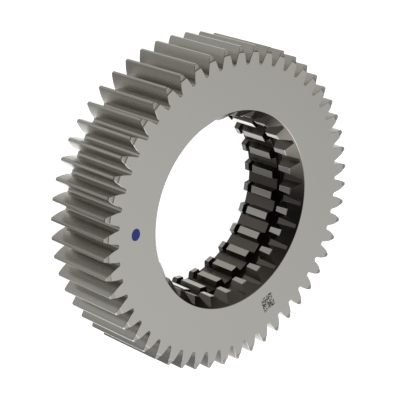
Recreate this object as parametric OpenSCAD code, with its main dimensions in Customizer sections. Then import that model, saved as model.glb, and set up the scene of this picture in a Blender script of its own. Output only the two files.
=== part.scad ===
// Main drive gear of a twin countershaft truck gearbox.
// One piece of ground steel: 52 straight involute teeth outside, and two rows of 26 internal
// teeth inside. The front row is the clutch row, with a conical mouth. The rear row is the
// spline row, with a snap ring groove. A relief groove parts them, and the rows are staggered.
// The gear lies on its rear face, with its axis along Z and its marked front face up.

/* [Outer teeth] */
// Number of outer teeth
teeth = 52; // [48:1:60]
// Tooth module, which is the pitch diameter over the number of teeth
tooth_module = 3.175; // [3:0.025:3.6]
// Pressure angle of the outer teeth
pressure_angle = 20; // [17.5:0.5:22.5]
// Height of a tooth above the pitch circle
addendum = 4.35; // [3:0.05:4.6]
// Depth of a tooth space below the pitch circle
dedendum = 5.4; // [4:0.05:5.6]
// Play between meshing teeth, taken off the tooth width at the pitch circle
backlash = 0.02; // [0:0.02:0.3]
// Radius of the fillet at the bottom of a tooth space
root_fillet = 1; // [0.5:0.1:1.1]

/* [Body] */
// Width of the gear, from the rear face to the front face
gear_w = 42.3; // [38:0.1:55]
// How far the set-back front ends of the teeth reach inwards from the tips
front_end_r = 3.3; // [1.5:0.1:4.2]
// Height of the step of 45 degrees where the set-back ends begin
front_step_h = 0.4; // [0.2:0.05:1]
// How much further the ends drop from that step to the tips
front_slope_h = 0.25; // [0.1:0.05:1.2]
// Edge break at the front ends of the tooth tips
front_break = 0.3; // [0.1:0.05:0.6]
// Edge break at the rear ends of the tooth tips
rear_break = 0.5; // [0.2:0.1:1]

/* [Internal teeth] */
// Number of teeth in each internal row
inner_teeth = 26; // [22:1:28]
// Diameter across the tips of the internal teeth
inner_tip_d = 97.3; // [94:0.1:99]
// Diameter at the bottom of the spaces between the internal teeth
inner_root_d = 105.3; // [103:0.1:110]
// Angle of the spline row around the axis, against the X axis
inner_turn = -2.9; // [-7:0.1:7]

/* [Clutch row] */
// Depth of the clutch row below the front face
clutch_row_w = 14.5; // [11:0.1:16]
// Width of the tip of a clutch tooth, halfway along its straight part
clutch_tip_w = 3.1; // [2:0.1:4]
// Slope of the flanks of a clutch tooth, against its own centre line
clutch_flank = 41; // [30:0.5:43]
// Back taper of those flanks, which makes the teeth narrower to the rear
clutch_taper = 2.9; // [0:0.1:4]
// Diameter of the conical mouth at the front face
mouth_d = 106.9; // [105.8:0.1:112]
// Depth of the conical mouth
mouth_h = 6.4; // [4:0.1:8]

/* [Relief groove] */
// Width of the groove between the two rows
relief_w = 5.6; // [3:0.1:8]
// Diameter at the bottom of that groove
relief_d = 110.4; // [108:0.1:118]

/* [Spline row] */
// Width of the tip of a spline tooth
spline_tip_w = 3.9; // [2.5:0.1:5]
// Slope of the flanks of a spline tooth, against its own centre line
spline_flank = 21; // [12:0.5:28]
// Width of the snap ring groove
ring_groove_w = 3.1; // [2:0.1:4]
// Diameter at the bottom of the snap ring groove
ring_groove_d = 104.4; // [101:0.1:105]
// Width of the lip between the snap ring groove and the rear face
rear_lip_w = 3.7; // [2:0.1:6]
// Chamfer of the bore at the rear face
rear_bore_chamfer = 0.8; // [0.3:0.1:1.5]

/* [Hidden] */

// Smoothness of the round surfaces
round_fn = 240;
// Points along one involute flank, and along one root fillet
flank_steps = 7;
fillet_steps = 4;
// How far a cutting shape runs past the face that it cuts
over = 1;

pitch_r = teeth * tooth_module / 2;
base_r = pitch_r * cos(pressure_angle);
tip_r = pitch_r + addendum;
root_r = pitch_r - dedendum;
tooth_step = 360 / teeth;

inner_tip_r = inner_tip_d / 2;
inner_root_r = inner_root_d / 2;
inner_step = 360 / inner_teeth;
clutch_z = gear_w - clutch_row_w;
relief_z = clutch_z - relief_w;
// Height halfway along the straight part of the clutch teeth
clutch_mid_z = gear_w - (mouth_h + clutch_row_w) / 2;

// Point of polar coordinates
function at(radius, angle) = [radius * cos(angle), radius * sin(angle)];

// Involute function of an angle, in degrees
function inv(angle) = tan(angle) * 180 / PI - angle;

// Half of the angle that a tooth takes up at its pitch circle
pitch_half = 90 / teeth - backlash / (2 * pitch_r) * 180 / PI;

// Half of the angle that a tooth takes up at a radius on its involute flank
function half_angle(radius) = pitch_half + inv(pressure_angle) - inv(acos(min(1, base_r / radius)));

// Radius where the involute begins and the root fillet ends
flank_start_r = max(base_r, root_r) + root_fillet * 0.6;
// The outline runs past the tip circle, which is then turned to size
flank_end_r = tip_r + 0.3;

// Half of the angle of a tooth space where the root fillet ends, and at its bottom
space_half = tooth_step / 2 - half_angle(flank_start_r);
floor_half = max(0.1, space_half - root_fillet / root_r * 180 / PI);

// The right flank of the tooth on the X axis, from the bottom of the space to beyond the tip
function right_flank() = concat(
    [for (i = [0 : fillet_steps - 1])
        let (a = 90 * i / fillet_steps)
        at(root_r + (flank_start_r - root_r) * (1 - cos(a)),
           -(tooth_step / 2 - floor_half - (space_half - floor_half) * sin(a)))],
    [for (i = [0 : flank_steps])
        let (r = flank_start_r + (flank_end_r - flank_start_r) * i / flank_steps)
        at(r, -half_angle(r))]
);

// One whole tooth: its right flank, then the same points mirrored
function tooth() = let (side = right_flank(), n = len(side))
    concat(side, [for (i = [n - 1 : -1 : 0]) [side[i][0], -side[i][1]]]);

function turned(points, angle) = [for (p = points)
    [p[0] * cos(angle) - p[1] * sin(angle), p[0] * sin(angle) + p[1] * cos(angle)]];

// Outline of all outer teeth; a space lies on the X axis
function tooth_ring() = [for (i = [0 : teeth - 1])
    each turned(tooth(), (i + 0.5) * tooth_step)];

// Outline of the turned blank, with the set-back front ends of the teeth and the edge breaks
module blank() {
    tip_end_z = gear_w - front_step_h - front_slope_h;
    rotate_extrude($fn = round_fn) polygon([
        [0, 0],
        [tip_r - rear_break, 0],
        [tip_r, rear_break],
        [tip_r, tip_end_z - front_break],
        [tip_r - front_break, tip_end_z],
        [tip_r - front_end_r + front_step_h, gear_w - front_step_h],
        [tip_r - front_end_r, gear_w],
        [0, gear_w]
    ]);
}

module toothed_blank() {
    intersection() {
        translate([0, 0, -over]) linear_extrude(gear_w + 2 * over) polygon(tooth_ring());
        blank();
    }
}

// Section of one spline tooth, pointing to the axis, with its foot in the wall
module spline_tooth() {
    foot_r = inner_root_r + over;
    head_r = inner_tip_r - over;
    foot_y = spline_tip_w / 2 + (foot_r - inner_tip_r) * tan(spline_flank);
    head_y = spline_tip_w / 2 - over * tan(spline_flank);
    polygon([[head_r, -head_y], [foot_r, -foot_y], [foot_r, foot_y], [head_r, head_y]]);
}

// What is cut away for the spline row, whose teeth are straight
module spline_cut() {
    translate([0, 0, -over]) linear_extrude(relief_z + 2 * over) difference() {
        circle(r = inner_root_r, $fn = round_fn);
        for (i = [0 : inner_teeth - 1])
            rotate(inner_turn + i * inner_step) spline_tooth();
    }
}

// The room beside one flank of a clutch tooth, seen from the middle of the space that it faces.
// It leans about that space's own radius, by the back taper.
module beside_clutch_tooth() {
    foot_r = inner_root_r + over;
    head_r = inner_tip_r - over;
    foot_y = clutch_tip_w / 2 + (foot_r - inner_tip_r) * tan(clutch_flank);
    head_y = clutch_tip_w / 2 - over * tan(clutch_flank);
    far_y = inner_step / 180 * PI * inner_root_r;
    rotate([-clutch_taper, 0, 0]) rotate(-inner_step / 2)
        translate([0, 0, clutch_z - relief_w / 2 - clutch_mid_z])
            linear_extrude(clutch_row_w + relief_w / 2 + over)
                polygon([[head_r, head_y], [foot_r, foot_y], [foot_r, far_y], [head_r, far_y]]);
}

// What is cut away for the clutch row: the spaces, halfway between the teeth of the spline row
module clutch_cut() {
    intersection() {
        translate([0, 0, clutch_z - relief_w]) cylinder(r = inner_root_r, h = gear_w, $fn = round_fn);
        for (i = [0 : inner_teeth - 1])
            rotate(inner_turn + i * inner_step) translate([0, 0, clutch_mid_z]) intersection() {
                beside_clutch_tooth();
                mirror([0, 1, 0]) beside_clutch_tooth();
            }
    }
}

// What is cut away by turning: the bore, the conical mouth, the two grooves and the rear chamfer
module turned_cut() {
    mouth_slope = (mouth_d / 2 - inner_tip_r) / mouth_h;
    rotate_extrude($fn = round_fn) polygon([
        [0, -over],
        [inner_tip_r + rear_bore_chamfer + over, -over],
        [inner_tip_r, rear_bore_chamfer],
        [inner_tip_r, rear_lip_w],
        [ring_groove_d / 2, rear_lip_w],
        [ring_groove_d / 2, rear_lip_w + ring_groove_w],
        [inner_tip_r, rear_lip_w + ring_groove_w],
        [inner_tip_r, relief_z],
        [relief_d / 2, relief_z],
        [relief_d / 2, clutch_z],
        [inner_tip_r, clutch_z],
        [inner_tip_r, gear_w - mouth_h],
        [mouth_d / 2 + over * mouth_slope, gear_w + over],
        [0, gear_w + over]
    ]);
}

module drive_gear() {
    color([0.66, 0.65, 0.62]) difference() {
        toothed_blank();
        turned_cut();
        spline_cut();
        clutch_cut();
    }
}

drive_gear();
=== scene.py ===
# %% [markdown]
# This lesson dresses the main drive gear of a truck gearbox: one ring of ground steel, with 52
# straight teeth outside and two rows of 26 teeth in its bore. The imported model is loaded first.
# It gives the size that nothing here may leave, and it stays the solid that the checks use.

# %% Load the frame
import math

import bmesh
import bpy
from mathutils import Matrix, Vector


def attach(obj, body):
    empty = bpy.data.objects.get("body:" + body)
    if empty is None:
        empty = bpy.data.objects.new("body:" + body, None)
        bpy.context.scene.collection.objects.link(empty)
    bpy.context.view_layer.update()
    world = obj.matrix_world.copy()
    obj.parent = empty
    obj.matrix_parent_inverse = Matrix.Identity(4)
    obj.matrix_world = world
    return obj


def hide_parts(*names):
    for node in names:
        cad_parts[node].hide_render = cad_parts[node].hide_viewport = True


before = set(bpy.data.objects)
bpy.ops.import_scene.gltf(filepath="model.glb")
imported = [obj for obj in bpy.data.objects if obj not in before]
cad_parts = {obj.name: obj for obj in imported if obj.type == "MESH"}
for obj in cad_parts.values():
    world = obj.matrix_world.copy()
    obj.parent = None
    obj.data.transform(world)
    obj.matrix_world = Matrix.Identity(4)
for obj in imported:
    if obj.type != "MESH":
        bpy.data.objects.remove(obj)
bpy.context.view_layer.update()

# %% [markdown]
# The camera comes first, because the framing decides how much detail is worth making. The
# photograph shows the gear standing on its rim. Here the gear lies on its rear face, so the
# camera keeps the same place relative to the gear and is rolled about its own line of sight.
# All places are written in millimetres and turned into metres by one factor.

# %% Camera
MM = 0.001
CAMERA_POINT = Vector((0.6, -607.9, 603.0)) * MM
CAMERA_TARGET = Vector((0.74, -26.1, 42.3)) * MM
CAMERA_ROLL = math.radians(110.15)
SENSOR_WIDTH = 36.0
FOCAL_LENGTH = 143.07


def place_camera(point, target, roll):
    """Camera at point, looking at target, turned about its line of sight."""
    data = bpy.data.cameras.new("photo_camera")
    data.sensor_width = SENSOR_WIDTH
    data.lens = FOCAL_LENGTH
    camera = bpy.data.objects.new("photo_camera", data)
    bpy.context.scene.collection.objects.link(camera)
    level = (target - point).to_track_quat("-Z", "Y")
    camera.matrix_world = (Matrix.Translation(point) @ level.to_matrix().to_4x4()
                           @ Matrix.Rotation(roll, 4, "Z"))
    bpy.context.scene.camera = camera
    return camera


camera = place_camera(CAMERA_POINT, CAMERA_TARGET, CAMERA_ROLL)
print("Camera stands", round((CAMERA_TARGET - CAMERA_POINT).length, 3), "m from the front face")

# %% [markdown]
# The sizes of the gear are the ones that the solid has. A tooth of the outer ring is an involute,
# the curve that a taut string draws as it unwinds from the base circle. A polygon of
# eleven points a flank is enough for it, because smooth shading hides the steps.

# %% Sizes of the gear
TEETH = 52
MODULE = 3.175
PRESSURE_ANGLE = math.radians(20)
ADDENDUM = 4.35
DEDENDUM = 5.4
BACKLASH = 0.02
ROOT_FILLET = 1.0
GEAR_WIDTH = 42.3
FLANK_STEPS = 10
FILLET_STEPS = 5
TIP_STEPS = 2
RIM_STEPS = 5
RIM_RADIUS = 62.0

pitch_radius = TEETH * MODULE / 2
base_radius = pitch_radius * math.cos(PRESSURE_ANGLE)
tip_radius = pitch_radius + ADDENDUM
root_radius = pitch_radius - DEDENDUM
tooth_step = math.tau / TEETH
flank_start = max(base_radius, root_radius) + 0.6 * ROOT_FILLET


def involute(angle):
    """Involute function of an angle in radians."""
    return math.tan(angle) - angle


def tooth_half_angle(radius):
    """Half of the angle that a tooth takes up at a radius on its flank."""
    at_pitch = math.pi / (2 * TEETH) - BACKLASH / (2 * pitch_radius)
    here = math.acos(min(1.0, base_radius / radius))
    return at_pitch + involute(PRESSURE_ANGLE) - involute(here)


print("Tip, pitch and root radius in mm:",
      [round(r, 2) for r in (tip_radius, pitch_radius, root_radius)])

# %% [markdown]
# A few small tools serve the teeth and the bore. Points are given as a machinist gives them, by
# radius, angle and height. A plane cut that is closed again stands for a pass of the turning tool,
# and a bevel stands for the file or the brush that breaks an edge.

# %% Mesh tools
BREAK_STEPS = 3
CLOSE = 0.01
NEARLY_FLAT = 0.1


def polar(radius, angle, height=0.0):
    """Point from a radius in mm, an angle in radians and a height in mm, in metres."""
    return Vector((radius * math.cos(angle), radius * math.sin(angle), height)) * MM


def angle_of(v):
    return math.atan2(v.co.y, v.co.x)


def height_of(v):
    return v.co.z / MM


def radius_of(v):
    return math.hypot(v.co.x, v.co.y) / MM


def all_geometry(bm):
    return bm.verts[:] + bm.edges[:] + bm.faces[:]


def cut_and_cap(bm, point, normal):
    """Cuts off what lies on the normal's side of a plane, and closes the cut."""
    result = bmesh.ops.bisect_plane(bm, geom=all_geometry(bm), dist=1e-7, plane_co=point,
                                    plane_no=normal, clear_outer=True)
    edges = [g for g in result["geom_cut"] if isinstance(g, bmesh.types.BMEdge)]
    bmesh.ops.holes_fill(bm, edges=edges, sides=0)


def break_edges(bm, edges, width, steps=BREAK_STEPS):
    """Bevels edges by a width in mm; one step gives a flat chamfer, more give a round edge."""
    bmesh.ops.bevel(bm, geom=edges, offset=width * MM, offset_type="OFFSET", segments=steps,
                    profile=0.5, affect="EDGES", clamp_overlap=False, material=-1)


print("Points count as level, or as on a radius, within", CLOSE, "mm")

# %% [markdown]
# One outer tooth is modelled and then spun around the axis. Its outline is a handful of vertices:
# the root fillet, the involute and the tip on one side, and the same mirrored. The outline is
# filled and extruded to a prism. A brush took the burrs off both ends, so the edges between ends and
# flanks get a small break. The front end was set back in the lathe, with a short steep step and a
# shallow slope. Two bisecting planes give it points there, and what lies past the step moves down.
# Planes also take off the corners of the tip. On something as narrow as a tooth, a plane facet can
# stand for a turned one.

# %% One outer tooth
FRONT_END = 3.3
FRONT_STEP = 0.4
FRONT_STEP_WIDTH = 0.6
FRONT_SLOPE = 0.25
FRONT_BREAK = 0.3
REAR_BREAK = 0.5
FRONT_OUTLINE_BREAK = 0.15
REAR_OUTLINE_BREAK = 0.25
OUTLINE_END = 0.4
step_top = tip_radius - FRONT_END
step_foot = step_top + FRONT_STEP_WIDTH


def flank_outline():
    """Radius and angle of the points on one side of a tooth, from the space's middle to the tip."""
    half_step = tooth_step / 2
    space_half = half_step - tooth_half_angle(flank_start)
    floor_half = max(0.002, space_half - ROOT_FILLET / root_radius)
    points = [(root_radius, half_step)]
    for i in range(FILLET_STEPS):
        turn = math.pi / 2 * i / FILLET_STEPS
        points.append((root_radius + (flank_start - root_radius) * (1 - math.cos(turn)),
                       half_step - floor_half - (space_half - floor_half) * math.sin(turn)))
    for i in range(FLANK_STEPS + 1):
        radius = flank_start + (tip_radius - flank_start) * i / FLANK_STEPS
        points.append((radius, tooth_half_angle(radius)))
    return points


def break_outline(bm, height, width, steps):
    """Breaks the edges between an end of the tooth and its flanks, from near the root to the tip."""
    def on_flank(v):
        at_end = abs(height_of(v) - height) < CLOSE
        return at_end and flank_start + OUTLINE_END < radius_of(v) < tip_radius - OUTLINE_END
    break_edges(bm, [e for e in bm.edges if all(map(on_flank, e.verts))], width, steps)


def set_back(bm):
    """Lowers the front end of the tooth from the step outwards: first the step, then a slope."""
    for radius in (step_top, step_foot):
        end = [f for f in bm.faces if f.normal.z > 0.5]
        around = {g for f in end for g in (*f.verts, *f.edges, f)}
        bmesh.ops.bisect_plane(bm, geom=list(around), dist=1e-7, plane_co=(radius * MM, 0, 0),
                               plane_no=(1, 0, 0))
    for v in bm.verts:
        x = v.co.x / MM
        if height_of(v) > GEAR_WIDTH - 1 and x > step_top:
            step = FRONT_STEP * min(1, (x - step_top) / FRONT_STEP_WIDTH)
            slope = FRONT_SLOPE * max(0, (x - step_foot) / (tip_radius - step_foot))
            v.co.z -= (step + slope) * MM


def outer_tooth():
    """One tooth with its share of the rim, centred on the X axis, open at its inner side."""
    bm = bmesh.new()
    flank = flank_outline()
    tip_half = tooth_half_angle(tip_radius)
    tip = [(tip_radius, tip_half * (1 - 2 * i / TIP_STEPS)) for i in range(1, TIP_STEPS)]
    ring = flank + tip + [(r, -a) for r, a in reversed(flank)]
    ring += [(RIM_RADIUS, tooth_step * (i / RIM_STEPS - 0.5)) for i in range(RIM_STEPS + 1)]
    face = bm.faces.new([bm.verts.new(polar(r, a)) for r, a in ring])
    top = bmesh.ops.extrude_face_region(bm, geom=[face])["geom"]
    bmesh.ops.translate(bm, vec=(0, 0, GEAR_WIDTH * MM),
                        verts=[g for g in top if isinstance(g, bmesh.types.BMVert)])
    bmesh.ops.recalc_face_normals(bm, faces=bm.faces)
    break_outline(bm, GEAR_WIDTH, FRONT_OUTLINE_BREAK, 1)
    break_outline(bm, 0.0, REAR_OUTLINE_BREAK, BREAK_STEPS)
    set_back(bm)
    tip_end = GEAR_WIDTH - FRONT_STEP - FRONT_SLOPE
    cut_and_cap(bm, polar(tip_radius, 0, tip_end - FRONT_BREAK), (1, 0, 1))
    cut_and_cap(bm, polar(tip_radius, 0, REAR_BREAK), (1, 0, -1))
    walls = []
    for f in bm.faces:
        middle = f.calc_center_median()
        on_side = abs(abs(math.atan2(middle.y, middle.x)) - tooth_step / 2) < 1e-4
        on_inside = Vector((middle.x, middle.y)).length < (RIM_RADIUS + 0.1) * MM
        if abs(f.normal.z) < NEARLY_FLAT and (on_side or on_inside):
            walls.append(f)
    bmesh.ops.delete(bm, geom=walls, context="FACES")
    return bm


tooth = outer_tooth()
print("One outer tooth has", len(tooth.faces), "faces")

# %% [markdown]
# The spin operator copies the tooth around the axis. The doubles along the joins are merged, and
# what is left is an open ring that lacks only its bore.

# %% Ring of outer teeth
MERGE = 0.002 * MM


def spin_copies(bm, count):
    """Copies everything around the Z axis, until there are count of it, and welds the joins."""
    bmesh.ops.spin(bm, geom=all_geometry(bm), cent=(0, 0, 0), axis=(0, 0, 1), dvec=(0, 0, 0),
                   angle=math.tau * (count - 1) / count, steps=count - 1, use_duplicate=True)
    bmesh.ops.remove_doubles(bm, verts=bm.verts, dist=MERGE)


bmesh.ops.rotate(tooth, verts=tooth.verts, cent=(0, 0, 0), matrix=Matrix.Rotation(tooth_step / 2, 3, "Z"))
spin_copies(tooth, TEETH)
print("The ring of teeth has", len(tooth.faces), "faces")

# %% [markdown]
# The bore is turned first and then broached, and the mesh is made in the same order. A profile of
# the wall is swept through one twenty-sixth of the circle, in columns that fall on the edges of
# the teeth. Then the patches where teeth stand are pulled towards the axis. This keeps every face
# four-sided, which the bevel needs later.

# %% Sizes of the bore
INNER_TEETH = 26
INNER_TIP = 97.3 / 2
INNER_ROOT = 105.3 / 2
INNER_TURN = math.radians(-2.9)
CLUTCH_DEPTH = 14.5
CLUTCH_TIP = 3.1
CLUTCH_FLANK = math.radians(41)
CLUTCH_TAPER = math.radians(2.9)
MOUTH_RADIUS = 106.9 / 2
MOUTH_DEPTH = 6.4
RELIEF_WIDTH = 5.6
RELIEF_RADIUS = 110.4 / 2
SPLINE_TIP = 3.9
SPLINE_FLANK = math.radians(21)
GROOVE_WIDTH = 3.1
GROOVE_RADIUS = 104.4 / 2
LIP_WIDTH = 3.7
REAR_BORE_CHAMFER = 0.8

inner_step = math.tau / INNER_TEETH
clutch_low = GEAR_WIDTH - CLUTCH_DEPTH
spline_top = clutch_low - RELIEF_WIDTH
clutch_middle = GEAR_WIDTH - (MOUTH_DEPTH + CLUTCH_DEPTH) / 2


def mouth_height(radius):
    """Height of the conical mouth at a radius."""
    return GEAR_WIDTH - MOUTH_DEPTH * (MOUTH_RADIUS - radius) / (MOUTH_RADIUS - INNER_TIP)


def inner_half_angle(radius, tip_width, flank):
    """Half of the angle that an internal tooth takes up at a radius."""
    half = tip_width / 2
    slope = math.tan(flank)
    a = 1 + slope * slope
    b = slope * (half - INNER_TIP * slope)
    c = (half - INNER_TIP * slope) ** 2 - radius * radius
    x = (-b + math.sqrt(b * b - a * c)) / a
    return math.atan2(half + (x - INNER_TIP) * slope, x)


def clutch_half_angle(radius, height):
    """The same for a clutch tooth, which gets narrower towards the rear."""
    lean = (height - clutch_middle) * math.tan(CLUTCH_TAPER) / radius
    return inner_half_angle(radius, CLUTCH_TIP, CLUTCH_FLANK) + lean


spline_root_half = inner_half_angle(INNER_ROOT, SPLINE_TIP, SPLINE_FLANK)
clutch_root_half = clutch_half_angle(INNER_ROOT, clutch_middle)
print("Half angles of the internal teeth at their roots, in degrees:",
      [round(math.degrees(a), 2) for a in (spline_root_half, clutch_root_half)])

# %% [markdown]
# One sector holds one spline tooth in its middle and half a clutch tooth at each side, because the
# two rows are staggered. The spline tooth is pulled in two goes: first to the bottom of the snap
# ring groove, then, above and below the groove, to the full height. The clutch teeth get their back
# taper, by which an engaged clutch holds itself in, and their front ends follow the conical mouth.

# %% Wall of the bore
clutch_edge = inner_step / 2 - clutch_root_half
HALF_COLUMNS = [0.0, clutch_edge, (clutch_edge + spline_root_half) / 2, spline_root_half,
                (spline_root_half + inner_step / 2) / 2, inner_step / 2]
COLUMNS = [-a for a in reversed(HALF_COLUMNS[1:])] + HALF_COLUMNS
WALL = [(RIM_RADIUS, 0.0), (INNER_ROOT, 0.0), (INNER_ROOT, REAR_BORE_CHAMFER),
        (INNER_ROOT, LIP_WIDTH), (INNER_ROOT, LIP_WIDTH + GROOVE_WIDTH), (INNER_ROOT, spline_top),
        (RELIEF_RADIUS, spline_top), (RELIEF_RADIUS, clutch_low), (INNER_ROOT, clutch_low),
        (INNER_ROOT, mouth_height(INNER_ROOT)), (MOUTH_RADIUS, GEAR_WIDTH), (RIM_RADIUS, GEAR_WIDTH)]
TINY = 1e-4


def sweep_wall():
    """Turned wall of the bore over one sector: its profile, extruded column by column."""
    bm = bmesh.new()
    line = [bm.verts.new(polar(r, COLUMNS[0], z)) for r, z in WALL]
    edges = [bm.edges.new(pair) for pair in zip(line, line[1:])]
    for before, after in zip(COLUMNS, COLUMNS[1:]):
        made = bmesh.ops.extrude_edge_only(bm, edges=edges)["geom"]
        bmesh.ops.rotate(bm, cent=(0, 0, 0), matrix=Matrix.Rotation(after - before, 3, "Z"),
                         verts=[g for g in made if isinstance(g, bmesh.types.BMVert)])
        moved = {g for g in made if isinstance(g, bmesh.types.BMVert)}
        edges = [g for g in made if isinstance(g, bmesh.types.BMEdge)
                 and all(v in moved for v in g.verts)]
    return bm


def even_out_rim(bm):
    """Moves the outermost points to even steps, so that they fall on those of the toothed ring."""
    rim_step = tooth_step / RIM_STEPS
    shift = round(INNER_TURN / rim_step) * rim_step - INNER_TURN
    for v in [v for v in bm.verts if radius_of(v) > RIM_RADIUS - CLOSE]:
        column = min(range(len(COLUMNS)), key=lambda i: abs(COLUMNS[i] - angle_of(v)))
        even = inner_step * (column / (len(COLUMNS) - 1) - 0.5)
        v.co = polar(RIM_RADIUS, even + shift, height_of(v))


print("The wall of the bore has", len(COLUMNS), "columns of", len(WALL), "points in one sector")

# %% [markdown]
# Broaching leaves teeth standing, and here they are pulled out of the wall. A patch of its faces is
# extruded, and each point moves to where the flank and the tip of the tooth have it.

# %% Teeth of the bore
def patch(bm, radius, low, high, inside):
    """Wall faces at a radius, between two heights, whose middle angle passes a test."""
    found = []
    for f in bm.faces:
        middle = f.calc_center_median()
        at_radius = all(abs(radius_of(v) - radius) < CLOSE for v in f.verts)
        if at_radius and low < middle.z / MM < high and inside(math.atan2(middle.y, middle.x)):
            found.append(f)
    return found


def pull(bm, faces, place):
    """Extrudes a patch, moves its points to what place gives, and drops the sector's own sides."""
    made = bmesh.ops.extrude_face_region(bm, geom=faces)["geom"]
    bmesh.ops.delete(bm, geom=[f for f in faces if f.is_valid], context="FACES")
    for v in [g for g in made if isinstance(g, bmesh.types.BMVert)]:
        v.co = place(angle_of(v), height_of(v))
    sides = [f for f in bm.faces if all(abs(abs(angle_of(v)) - inner_step / 2) < TINY for v in f.verts)]
    bmesh.ops.delete(bm, geom=sides, context="FACES")


def taper_clutch_edges(bm):
    """Moves the columns beside the clutch teeth, so that the flanks lean by the back taper."""
    for v in bm.verts:
        on_column = abs(abs(angle_of(v)) - clutch_edge) < TINY
        if on_column and abs(radius_of(v) - INNER_ROOT) < CLOSE and height_of(v) > clutch_low - CLOSE:
            half = inner_step / 2 - clutch_half_angle(INNER_ROOT, height_of(v))
            v.co = polar(INNER_ROOT, math.copysign(half, angle_of(v)), height_of(v))


def spline_point(radius, before):
    """Where a point of a spline tooth goes when its patch is pulled from one radius to another."""
    shrink = (inner_half_angle(radius, SPLINE_TIP, SPLINE_FLANK)
              / inner_half_angle(before, SPLINE_TIP, SPLINE_FLANK))

    def place(angle, height):
        at = radius + (REAR_BORE_CHAMFER if radius == INNER_TIP and height < TINY else 0.0)
        share = shrink
        if at != radius:
            share = (inner_half_angle(at, SPLINE_TIP, SPLINE_FLANK)
                     / inner_half_angle(before, SPLINE_TIP, SPLINE_FLANK))
        return polar(at, angle * share, height)
    return place


def clutch_point(angle, height):
    """Where a point of a clutch tooth goes; its front end follows the conical mouth."""
    centre = math.copysign(inner_step / 2, angle)
    new_height = mouth_height(INNER_TIP) if height > clutch_low + TINY else height
    share = clutch_half_angle(INNER_TIP, new_height) / clutch_half_angle(INNER_ROOT, height)
    return polar(INNER_TIP, centre + (angle - centre) * share, new_height)


def bore_sector():
    bm = sweep_wall()
    even_out_rim(bm)
    taper_clutch_edges(bm)
    in_spline = lambda a: abs(a) < spline_root_half
    in_clutch = lambda a: abs(a) > clutch_edge
    pull(bm, patch(bm, INNER_ROOT, 0, spline_top, in_spline), spline_point(GROOVE_RADIUS, INNER_ROOT))
    lip = patch(bm, GROOVE_RADIUS, 0, LIP_WIDTH, in_spline)
    pull(bm, lip, spline_point(INNER_TIP, GROOVE_RADIUS))
    row = patch(bm, GROOVE_RADIUS, LIP_WIDTH + GROOVE_WIDTH, spline_top, in_spline)
    pull(bm, row, spline_point(INNER_TIP, GROOVE_RADIUS))
    pull(bm, patch(bm, INNER_ROOT, clutch_low, GEAR_WIDTH, in_clutch), clutch_point)
    return bm


bore = bore_sector()
print("One sector of the bore has", len(bore.faces), "faces")
spin_copies(bore, INNER_TEETH)
bmesh.ops.rotate(bore, verts=bore.verts, cent=(0, 0, 0), matrix=Matrix.Rotation(INNER_TURN, 3, "Z"))

# %% [markdown]
# The two parts meet in a circle of 260 points in each face, where the doubles are merged. Then the
# edges are broken. On the real gear a brush or a file takes the burrs off, so no edge is truly
# sharp, and each one catches a thin line of light. The tips of the outer teeth and the edges in the
# bore are found by the angle between their faces.

# %% Join and break the edges
TIP_BREAK = 0.22
BORE_BREAK = 0.12
SHARP = math.radians(28)


def join(first, second):
    """Copies the mesh of second into first."""
    mesh = bpy.data.meshes.new("part")
    second.to_mesh(mesh)
    first.from_mesh(mesh)
    bpy.data.meshes.remove(mesh)
    second.free()


def sharp_edges(bm, test):
    return [e for e in bm.edges if e.is_manifold and e.calc_face_angle(0) > SHARP and test(e)]


def long_tip_edge(e):
    at_tip = min(radius_of(v) for v in e.verts) > tip_radius - 0.3
    return at_tip and abs(height_of(e.verts[0]) - height_of(e.verts[1])) > 5


def bore_edge(e):
    return max(radius_of(v) for v in e.verts) < RIM_RADIUS - 5


join(tooth, bore)
gear = tooth
bmesh.ops.remove_doubles(gear, verts=gear.verts, dist=MERGE)
bmesh.ops.recalc_face_normals(gear, faces=gear.faces)
break_edges(gear, sharp_edges(gear, long_tip_edge), TIP_BREAK)
break_edges(gear, sharp_edges(gear, bore_edge), BORE_BREAK)
print("The gear has", len(gear.faces), "faces; open edges:", sum(not e.is_manifold for e in gear.edges))

# %% [markdown]
# The bmesh becomes one mesh object at the origin. Smooth shading hides the steps of the curves, and
# edges of more than 33 degrees stay sharp. The Weighted Normal modifier lets the large flat faces
# decide the shading, so that the small bevels beside them do not smear it.

# %% Gear object
def finish_mesh(bm, name):
    mesh = bpy.data.meshes.new(name)
    bm.to_mesh(mesh)
    bm.free()
    mesh.shade_smooth()
    mesh.set_sharp_from_angle(angle=math.radians(33))
    piece = bpy.data.objects.new(name, mesh)
    bpy.context.scene.collection.objects.link(piece)
    weighted = piece.modifiers.new("flat faces stay flat", "WEIGHTED_NORMAL")
    weighted.keep_sharp = True
    return piece


gear_piece = finish_mesh(gear, "ground_gear")
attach(gear_piece, "root")
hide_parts("drive_gear")
print("Gear object:", gear_piece.name, "with", len(gear_piece.data.polygons), "faces")

# %% [markdown]
# The steel has one material, because it is one piece, but not one finish. The faces and the tooth
# flanks were ground, so they are light and carry fine straight lines. The broached and turned walls
# in the bore were left as cut, so they are darker, apart from the tips of the inner teeth, which were
# ground to size. Masks tell these places apart by their distance from the axis and their height.
# They read Object coordinates, which stay with the gear wherever it is turned.
#
# The next cell holds small helpers, so that a node graph can be written like a formula.

# %% Node helpers
def new_group(name, inputs, outputs):
    """Empty shader node group with typed sockets; returns the group, its input and its output node."""
    group = bpy.data.node_groups.new(name, "ShaderNodeTree")
    kinds = {"float": "NodeSocketFloat", "colour": "NodeSocketColor", "vector": "NodeSocketVector"}
    for label, kind, value in inputs:
        socket = group.interface.new_socket(label, in_out="INPUT", socket_type=kinds[kind])
        socket.default_value = value
    for label, kind in outputs:
        group.interface.new_socket(label, in_out="OUTPUT", socket_type=kinds[kind])
    return group, group.nodes.new("NodeGroupInput"), group.nodes.new("NodeGroupOutput")


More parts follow.
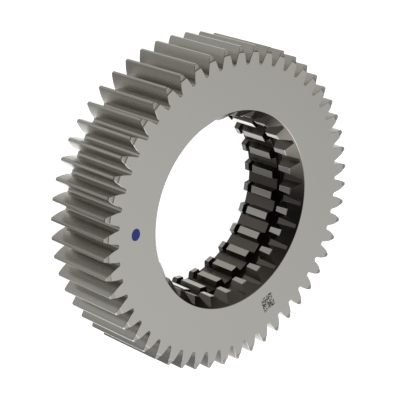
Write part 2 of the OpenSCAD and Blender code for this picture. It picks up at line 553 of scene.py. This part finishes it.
def feed(tree, socket, value):
    """Links a socket to another one, or sets it to a plain value."""
    if isinstance(value, bpy.types.NodeSocket):
        tree.links.new(value, socket)
    else:
        socket.default_value = value


def math_node(tree, operation, *values):
    node = tree.nodes.new("ShaderNodeMath")
    node.operation = operation
    for socket, value in zip(node.inputs, values):
        feed(tree, socket, value)
    return node.outputs[0]


def vector_node(tree, operation, *values):
    node = tree.nodes.new("ShaderNodeVectorMath")
    node.operation = operation
    for socket, value in zip(node.inputs, values):
        feed(tree, socket, value)
    return node.outputs["Value" if operation in ("DOT_PRODUCT", "LENGTH") else "Vector"]


def step_up(tree, value, low, high):
    """0 up to low, 1 from high, and a smooth step between them; low may be the greater one."""
    node = tree.nodes.new("ShaderNodeMapRange")
    node.interpolation_type = "SMOOTHSTEP"
    feed(tree, node.inputs["Value"], value)
    node.inputs["From Min"].default_value = low
    node.inputs["From Max"].default_value = high
    return node.outputs["Result"]


def both(tree, first, second):
    """Mask of the places that two masks share."""
    return math_node(tree, "MULTIPLY", first, second)


def mix_colour(tree, factor, first, second, blend="MIX"):
    node = tree.nodes.new("ShaderNodeMix")
    node.data_type = "RGBA"
    node.blend_type = blend
    feed(tree, node.inputs["Factor"], factor)
    feed(tree, node.inputs["A"], first)
    feed(tree, node.inputs["B"], second)
    return node.outputs["Result"]


def call(tree, group, **values):
    """Puts a node group into a tree; underscores in the names of its inputs stand for spaces."""
    node = tree.nodes.new("ShaderNodeGroup")
    node.node_tree = group
    for label, value in values.items():
        feed(tree, node.inputs[label.replace("_", " ")], value)
    return node.outputs


print("Node helpers are ready, from", new_group.__name__, "to", call.__name__)

# %% [markdown]
# A grinding wheel leaves lines that all run one way. Noise makes them when its coordinates are
# squeezed along the lines. The group is used for the flanks, where the lines run along the teeth,
# and for the faces, where the table turned under the wheel and the lines are rings.

# %% Grinding lines
LINE_SPACING = 0.35


def line_group():
    """Fine lines between -1 and 1; the coordinates say in which direction they run."""
    group, into, out = new_group("grinding_lines", [("Place", "vector", (0, 0, 0)),
                                                    ("Spacing", "float", 1.0)],
                                 [("Lines", "float")])
    scaled = vector_node(group, "DIVIDE", into.outputs["Place"], into.outputs["Spacing"])
    noise = group.nodes.new("ShaderNodeTexNoise")
    noise.inputs["Scale"].default_value = 1.0
    noise.inputs["Detail"].default_value = 3.0
    feed(group, noise.inputs["Vector"], scaled)
    spread = math_node(group, "MULTIPLY_ADD", noise.outputs["Fac"], 4.0, -2.0)
    kept = math_node(group, "MINIMUM", 1.0, math_node(group, "MAXIMUM", -1.0, spread))
    feed(group, out.inputs["Lines"], kept)
    return group


lines = line_group()
print("Node group made:", lines.name)

# %% [markdown]
# Two marks sit on the front face. One is a dot of blue paint from a marker pen, which an inspector
# put there. The other is a small etched square. On the real gear it is a product code; here it is
# only a mottled square that says nothing. Both are flat marks and not pieces, so they are masks,
# placed by an angle and a distance from the axis. One group gives the two coordinates of a point
# seen from the middle of a mark, along the radius and across it.

# %% Marks on the front face
DOT_ANGLE, DOT_RADIUS = -65.3, 66.4
DOT_SIZE = (2.75, 3.2)
PATCH_ANGLE, PATCH_RADIUS = 51.9, 65.2
PATCH_SIZE = (4.35, 4.15)
PATCH_CELL = 0.62
PATCH_DARK_FROM, PATCH_DARK_FULL = 0.3, 0.65
MARK_EDGE = 0.1
DOT_NOISE_SCALE = 400.0
DOT_UNEVENNESS = 0.2


def mark_coordinates(tree, x, y, angle, radius):
    """Coordinates in mm from the middle of a mark: outwards along the radius, and across it."""
    c, s = math.cos(math.radians(angle)) / MM, math.sin(math.radians(angle)) / MM
    along = math_node(tree, "MULTIPLY_ADD", x, c, math_node(tree, "MULTIPLY_ADD", y, s, -radius))
    across = math_node(tree, "MULTIPLY_ADD", x, -s, math_node(tree, "MULTIPLY", y, c))
    return along, across


def dot_mask(tree, x, y, place):
    """Oval with a slightly uneven edge."""
    along, across = mark_coordinates(tree, x, y, DOT_ANGLE, DOT_RADIUS)
    spread = tree.nodes.new("ShaderNodeCombineXYZ")
    feed(tree, spread.inputs[0], math_node(tree, "DIVIDE", along, DOT_SIZE[0]))
    feed(tree, spread.inputs[1], math_node(tree, "DIVIDE", across, DOT_SIZE[1]))
    noise = tree.nodes.new("ShaderNodeTexNoise")
    noise.inputs["Scale"].default_value = DOT_NOISE_SCALE
    feed(tree, noise.inputs["Vector"], place)
    far = vector_node(tree, "LENGTH", spread.outputs[0])
    uneven = math_node(tree, "MULTIPLY_ADD", noise.outputs["Fac"], DOT_UNEVENNESS, far)
    return step_up(tree, uneven, 1.13, 1.05)


def within(tree, value, half):
    """1 where a coordinate is less than half from the middle of a mark, with a narrow soft edge."""
    return step_up(tree, math_node(tree, "ABSOLUTE", value), half + MARK_EDGE, half)


def patch_mask(tree, x, y):
    """Square of small cells, about half of them dark."""
    along, across = mark_coordinates(tree, x, y, PATCH_ANGLE, PATCH_RADIUS)
    inside = both(tree, within(tree, along, PATCH_SIZE[0]), within(tree, across, PATCH_SIZE[1]))
    cell = tree.nodes.new("ShaderNodeCombineXYZ")
    for socket, value in zip(cell.inputs, (along, across)):
        feed(tree, socket, math_node(tree, "FLOOR", math_node(tree, "DIVIDE", value, PATCH_CELL)))
    noise = tree.nodes.new("ShaderNodeTexWhiteNoise")
    noise.noise_dimensions = "2D"
    feed(tree, noise.inputs["Vector"], cell.outputs[0])
    return both(tree, inside, step_up(tree, noise.outputs["Value"], PATCH_DARK_FROM, PATCH_DARK_FULL))


print("Marks: a dot at", DOT_RADIUS, "mm and a square at", PATCH_RADIUS, "mm from the axis")

# %% [markdown]
# All of it comes together in the steel. Steel is a metal, so its colour is the colour of what it
# reflects, a little warm. Grinding makes it glossy; as-cut walls are rougher and darker, because oil
# and black residue stay in their pores. The paint is the only place that is no metal.

# %% Steel
GROUND = (0.62, 0.605, 0.57, 1)
AS_CUT = (0.17, 0.155, 0.14, 1)
PAINT = (0.03, 0.06, 0.5, 1)
ETCHED = (0.10, 0.10, 0.095, 1)
FLANK = (0.62, 0.605, 0.57, 1)
GROUND_ROUGHNESS = 0.17
FLANK_ROUGHNESS = 0.28
ROOT_ROUGHNESS = 0.12
CUT_ROUGHNESS = 0.27
LINE_CONTRAST = 0.04
LINE_ROUGHNESS = 0.02
MARK_ROUGHNESS = 0.25


def steel_material():
    material = bpy.data.materials.new("ground_steel")
    material.use_nodes = True
    tree = material.node_tree
    shader = tree.nodes["Principled BSDF"]
    place = tree.nodes.new("ShaderNodeTexCoord").outputs["Object"]
    parts = tree.nodes.new("ShaderNodeSeparateXYZ")
    feed(tree, parts.inputs[0], place)
    x, y, z = parts.outputs
    radius = vector_node(tree, "LENGTH", vector_node(tree, "MULTIPLY", place, (1, 1, 0)))

    on_face = step_up(tree, z, (GEAR_WIDTH - 0.08) * MM, (GEAR_WIDTH - 0.03) * MM)
    in_bore = step_up(tree, radius, (RELIEF_RADIUS + 3) * MM, (RELIEF_RADIUS + 2) * MM)
    off_lands = step_up(tree, radius, (INNER_TIP + 0.1) * MM, (INNER_TIP + 0.3) * MM)
    below_face = step_up(tree, z, (GEAR_WIDTH - 0.1) * MM, (GEAR_WIDTH - 0.3) * MM)
    cut = both(tree, both(tree, in_bore, below_face), off_lands)
    outside = both(tree, step_up(tree, radius, (root_radius - 0.5) * MM, (root_radius - 0.1) * MM),
                   math_node(tree, "SUBTRACT", 1.0, on_face))
    flank = both(tree, outside, step_up(tree, radius, (root_radius + 0.5) * MM, (root_radius + 0.9) * MM))

    along_teeth = call(tree, lines, Place=vector_node(tree, "MULTIPLY", place, (1, 1, 0.01)),
                       Spacing=LINE_SPACING * MM)["Lines"]
    ring_place = tree.nodes.new("ShaderNodeCombineXYZ")
    feed(tree, ring_place.inputs[0], radius)
    rings = call(tree, lines, Place=ring_place.outputs[0], Spacing=LINE_SPACING * MM)["Lines"]
    line = tree.nodes.new("ShaderNodeMix")
    feed(tree, line.inputs["Factor"], on_face)
    feed(tree, line.inputs["A"], along_teeth)
    feed(tree, line.inputs["B"], rings)
    line = line.outputs["Result"]

    dot = both(tree, on_face, dot_mask(tree, x, y, place))
    etched = both(tree, on_face, patch_mask(tree, x, y))
    colour = mix_colour(tree, flank, mix_colour(tree, cut, GROUND, AS_CUT), FLANK)
    shade = math_node(tree, "MULTIPLY_ADD", line, LINE_CONTRAST, 1.0)
    colour = mix_colour(tree, 1.0, colour, shade, "MULTIPLY")
    colour = mix_colour(tree, etched, colour, ETCHED)
    feed(tree, shader.inputs["Base Color"], mix_colour(tree, dot, colour, PAINT))
    feed(tree, shader.inputs["Metallic"], math_node(tree, "SUBTRACT", 1.0, dot))
    rough = math_node(tree, "MULTIPLY_ADD", cut, CUT_ROUGHNESS - GROUND_ROUGHNESS, GROUND_ROUGHNESS)
    rough = math_node(tree, "MULTIPLY_ADD", outside, ROOT_ROUGHNESS - GROUND_ROUGHNESS, rough)
    rough = math_node(tree, "MULTIPLY_ADD", flank, FLANK_ROUGHNESS - ROOT_ROUGHNESS, rough)
    rough = math_node(tree, "MULTIPLY_ADD", line, LINE_ROUGHNESS, rough)
    marks = math_node(tree, "MULTIPLY", math_node(tree, "ADD", dot, etched), MARK_ROUGHNESS)
    feed(tree, shader.inputs["Roughness"], math_node(tree, "ADD", rough, marks))
    return material


steel = steel_material()
gear_piece.data.materials.append(steel)
print("Material made:", steel.name, "with", len(steel.node_tree.nodes), "nodes")

# %% [markdown]
# The gear lies on a plain white floor, in a photographer's tent. The photo has no shadow and no
# horizon, so the floor glows by itself, and it is hidden from reflections: in the bore and under the
# rear ends of the teeth, the steel sees the bright wall of the tent instead.

# %% Floor
FLOOR_SIZE = 3.0
FLOOR_DROP = 0.5


def white_material():
    material = bpy.data.materials.new("white_floor")
    material.use_nodes = True
    shader = material.node_tree.nodes["Principled BSDF"]
    shader.inputs["Base Color"].default_value = (1, 1, 1, 1)
    shader.inputs["Emission Color"].default_value = (1, 1, 1, 1)
    shader.inputs["Emission Strength"].default_value = 1.0
    return material


sheet = bmesh.new()
bmesh.ops.create_grid(sheet, x_segments=1, y_segments=1, size=FLOOR_SIZE)
floor_mesh = bpy.data.meshes.new("floor")
sheet.to_mesh(floor_mesh)
sheet.free()
floor = bpy.data.objects.new("floor", floor_mesh)
bpy.context.scene.collection.objects.link(floor)
floor.location.z = -FLOOR_DROP * MM
floor_mesh.materials.append(white_material())
floor.visible_glossy = False
floor.visible_diffuse = False
floor.visible_shadow = False
print("The floor lies", FLOOR_DROP, "mm under the gear")

# %% [markdown]
# Polished metal shows its surroundings, so it is photographed in a light tent: a box of white cloth
# with lamps behind it. Each wall of the tent is one broad patch of light that fades at its edge,
# hung in some direction as seen from the camera. Side turns to the right, up turns upwards, and a
# side of 180 degrees is behind the gear. The wall behind and the table are the bright ones, and they
# light the flanks' far ends. The right wall is what the front face reflects, so its brightness sets
# the grey of the face. A weak wall in front of the face keeps it from going black when it is seen
# from above. There is no light at the camera, and that dark side gives the teeth their contrast. The
# camera itself sees plain white instead of the tent.

# %% Light
WHITE = (1, 1, 1, 1)
NEUTRAL = (1, 1, 0.98, 1)
WARM = (1.04, 1, 0.93, 1)
DARK_SIDE = (0.01, 0.01, 0.01, 1)
TENT = [
    # wall of the tent, side and up in degrees, width in degrees, brightness, tint
    ("wall behind", -165, 0, 35, 2.0, NEUTRAL),
    ("table", 0, -90, 30, 2.0, NEUTRAL),
    ("right wall", 90, -25, 30, 0.62, NEUTRAL),
    ("left wall", -90, 20, 30, 0.35, NEUTRAL),
    ("front right wall", 45, -15, 25, 0.15, NEUTRAL),
    ("ceiling", 0, 90, 45, 0.5, WARM),
]


def wall_group():
    """Light that comes from one wall of the tent, in some direction."""
    group, into, out = new_group("tent_wall", [("Direction", "vector", (0, 0, 1)),
                                               ("Wall", "vector", (0, 0, 1)),
                                               ("Narrowness", "float", 10.0),
                                               ("Brightness", "float", 1.0),
                                               ("Tint", "colour", (1, 1, 1, 1))],
                                 [("Light", "colour")])
    toward = vector_node(group, "DOT_PRODUCT", into.outputs["Direction"], into.outputs["Wall"])
    off = math_node(group, "SUBTRACT", toward, 1.0)
    fall = math_node(group, "EXPONENT", math_node(group, "MULTIPLY", off, into.outputs["Narrowness"]))
    bright = math_node(group, "MULTIPLY", fall, into.outputs["Brightness"])
    feed(group, out.inputs["Light"], mix_colour(group, 1.0, into.outputs["Tint"], bright, "MULTIPLY"))
    return group


def studio_direction(side, up):
    side, up = math.radians(side), math.radians(up)
    seen = Vector((math.sin(side) * math.cos(up), math.sin(up), math.cos(side) * math.cos(up)))
    return camera.matrix_world.to_3x3() @ seen


def studio(base, walls):
    """World with a faint even light and the walls of the tent, which the camera sees as plain white."""
    world = bpy.data.worlds.new("studio")
    world.use_nodes = True
    bpy.context.scene.world = world
    tree = world.node_tree
    direction = tree.nodes.new("ShaderNodeTexCoord").outputs["Generated"]
    group = wall_group()
    total = base
    for wall, side, up, width, brightness, tint in walls:
        light = call(tree, group, Direction=direction, Wall=studio_direction(side, up),
                     Narrowness=1 / (1 - math.cos(math.radians(width))), Brightness=brightness, Tint=tint)
        total = mix_colour(tree, 1.0, total, light["Light"], "ADD")
    to_camera = tree.nodes.new("ShaderNodeLightPath").outputs["Is Camera Ray"]
    feed(tree, tree.nodes["Background"].inputs["Color"], mix_colour(tree, to_camera, total, WHITE))


studio(DARK_SIDE, TENT)
bpy.context.scene.view_settings.view_transform = "Standard"
print("Walls of the tent:", [wall[0] for wall in TENT])

# %% [markdown]
# The broken edges only take steel away.
